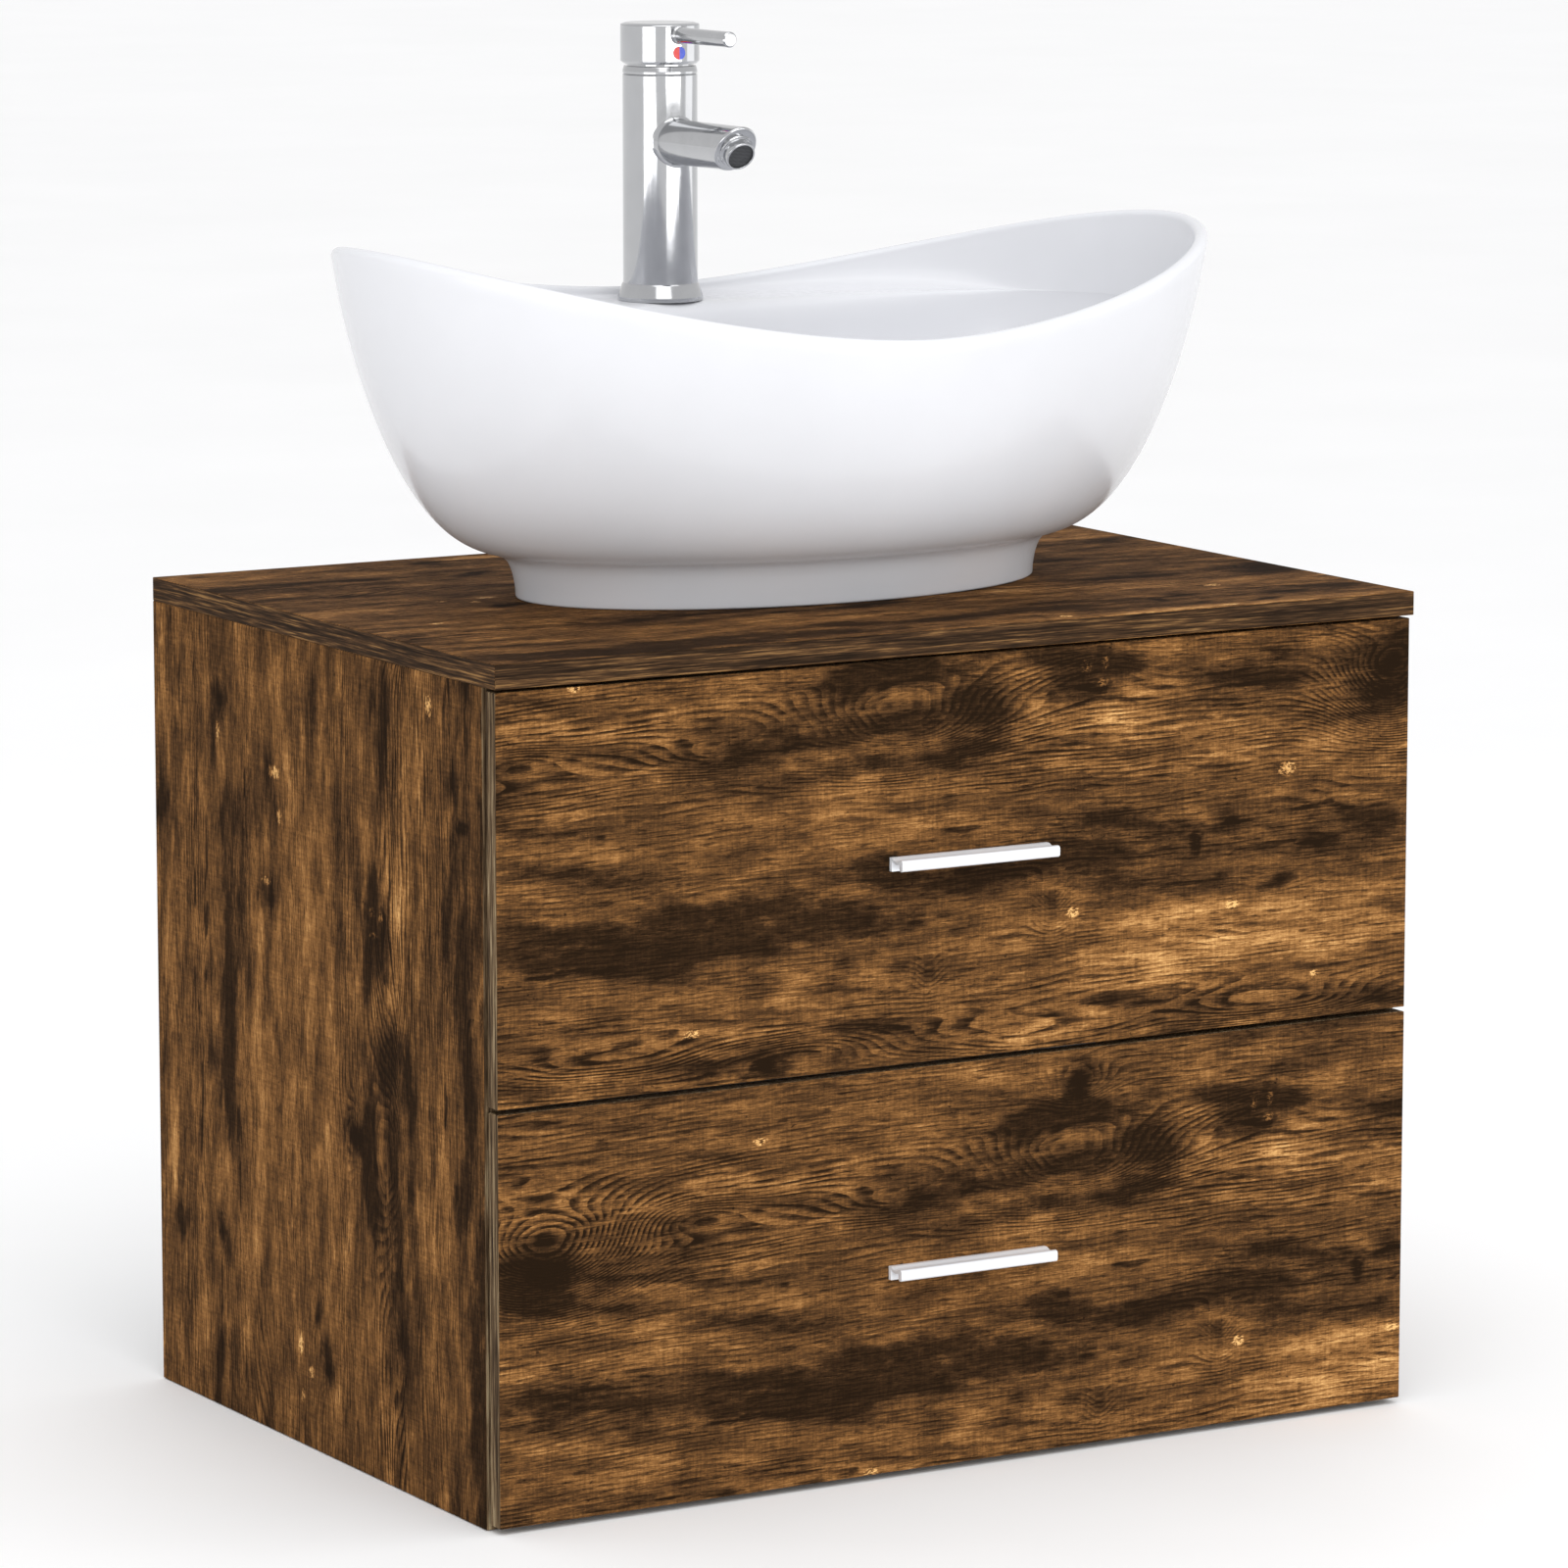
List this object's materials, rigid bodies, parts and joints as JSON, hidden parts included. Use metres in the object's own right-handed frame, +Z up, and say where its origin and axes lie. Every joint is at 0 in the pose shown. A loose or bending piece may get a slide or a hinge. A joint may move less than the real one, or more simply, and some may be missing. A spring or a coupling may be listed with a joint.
{
  "type": "vessel sink on vanity",
  "caption": "Oval white vessel basin with raised tips and a single-lever chrome mixer on a dark oak wall-hung cabinet whose drawers slide on telescopic rails.",
  "frame": {"origin": "middle of the bottom of the whole object's box, on the plane of the side panels' feet", "axes": "+X to the right, +Y to the wall, +Z up"},
  "size_m": [0.65, 0.473, 0.865],
  "materials": {
    "oak_long_grain": "dark smoked oak laminate, grain along X, satin",
    "oak_upright_grain": "dark smoked oak laminate, grain along Z, satin",
    "carcass_board": "dark laminated board",
    "drawer_board": "grey melamine board",
    "hardboard": "lacquered hardboard",
    "beech": "raw",
    "zinc": "die-cast zinc",
    "zinc_steel": "zinc-plated",
    "clear_rubber": "soft clear",
    "black_rubber": "matte",
    "white_glaze": "glossy white glaze",
    "polished_chrome": "polished",
    "raw_brass": "turned",
    "white_plastic": "moulded",
    "cartridge_plastic": "moulded",
    "mesh_plastic": "fine mesh",
    "red_enamel": "glossy",
    "blue_enamel": "glossy",
    "satin_aluminium": "satin anodised"
  },
  "bodies": {
    "cabinet": {"top_slab": "oak_long_grain", "left_side_panel": "oak_upright_grain", "right_side_panel": "oak_upright_grain", "bottom_panel": "carcass_board", "back_rail_upper": "carcass_board", "back_rail_lower": "carcass_board", "dowels": "beech", "cam_fittings": "zinc", "drawer_bumpers": "clear_rubber", "slide_outer_members": "zinc_steel", "basin": "white_glaze", "overflow_ring": "polished_chrome", "waste_flange": "polished_chrome", "waste_body": "polished_chrome", "waste_seal": "black_rubber", "waste_lock_nut": "polished_chrome", "trap_inlet_nut": "white_plastic", "trap_dip_tube": "white_plastic", "trap_bottle": "white_plastic", "trap_cup": "white_plastic", "trap_outlet_nut": "white_plastic", "trap_outlet_pipe": "white_plastic", "tap_base_ring": "polished_chrome", "tap_body": "polished_chrome", "aerator_housing": "polished_chrome", "aerator_mesh": "mesh_plastic", "cartridge_body": "cartridge_plastic", "cartridge_nut": "raw_brass", "trim_ring": "polished_chrome", "tap_stud": "zinc_steel", "horseshoe_washer": "zinc_steel", "stud_nut": "raw_brass"},
    "tap_core": {"cartridge_core": "cartridge_plastic", "cartridge_pin": "zinc_steel"},
    "tap_lever": {"cartridge_stem": "cartridge_plastic", "lever_head": "polished_chrome", "lever_rod": "polished_chrome", "indicator_red": "red_enamel", "indicator_blue": "blue_enamel"},
    "plug": {"waste_plug": "polished_chrome"},
    "upper_rails": {"upper_slide_middle": "zinc_steel"},
    "upper_drawer": {"upper_slide_inner": "zinc_steel", "upper_drawer_front": "oak_long_grain", "upper_drawer_left_side": "drawer_board", "upper_drawer_right_side": "drawer_board", "upper_drawer_back": "drawer_board", "upper_drawer_bottom": "hardboard", "upper_drawer_trap_guard": "drawer_board", "upper_handle": "satin_aluminium", "upper_handle_screws": "zinc_steel"},
    "lower_rails": {"lower_slide_middle": "zinc_steel"},
    "lower_drawer": {"lower_slide_inner": "zinc_steel", "lower_drawer_front": "oak_long_grain", "lower_drawer_left_side": "drawer_board", "lower_drawer_right_side": "drawer_board", "lower_drawer_back": "drawer_board", "lower_drawer_bottom": "hardboard", "lower_handle": "satin_aluminium", "lower_handle_screws": "zinc_steel"}
  },
  "joints": [
    {"name": "upper_drawer_slide", "type": "slide", "parent": "cabinet", "child": "upper_drawer", "axis": [0, -1, 0], "range_m": [0, 0.3]},
    {"name": "upper_rails_slide", "type": "slide", "parent": "cabinet", "child": "upper_rails", "axis": [0, -1, 0], "range_m": [0, 0.15]},
    {"name": "lower_drawer_slide", "type": "slide", "parent": "cabinet", "child": "lower_drawer", "axis": [0, -1, 0], "range_m": [0, 0.3]},
    {"name": "lower_rails_slide", "type": "slide", "parent": "cabinet", "child": "lower_rails", "axis": [0, -1, 0], "range_m": [0, 0.15]},
    {"name": "lever_turn", "type": "hinge", "parent": "cabinet", "child": "tap_core", "pos_m": [0, 0.157, 0.8], "axis": [0, 0, 1], "range_deg": [-45, 45]},
    {"name": "lever_lift", "type": "hinge", "parent": "tap_core", "child": "tap_lever", "pos_m": [0, 0.157, 0.828], "axis": [-1, 0, 0], "range_deg": [0, 12]},
    {"name": "plug_press", "type": "slide", "parent": "cabinet", "child": "plug", "axis": [0, 0, 1], "range_m": [-0.007, 0]}
  ],
  "couplings": [
    {"joint": "upper_rails_slide", "follows": "upper_drawer_slide", "ratio": 0.5},
    {"joint": "lower_rails_slide", "follows": "lower_drawer_slide", "ratio": 0.5}
  ]
}
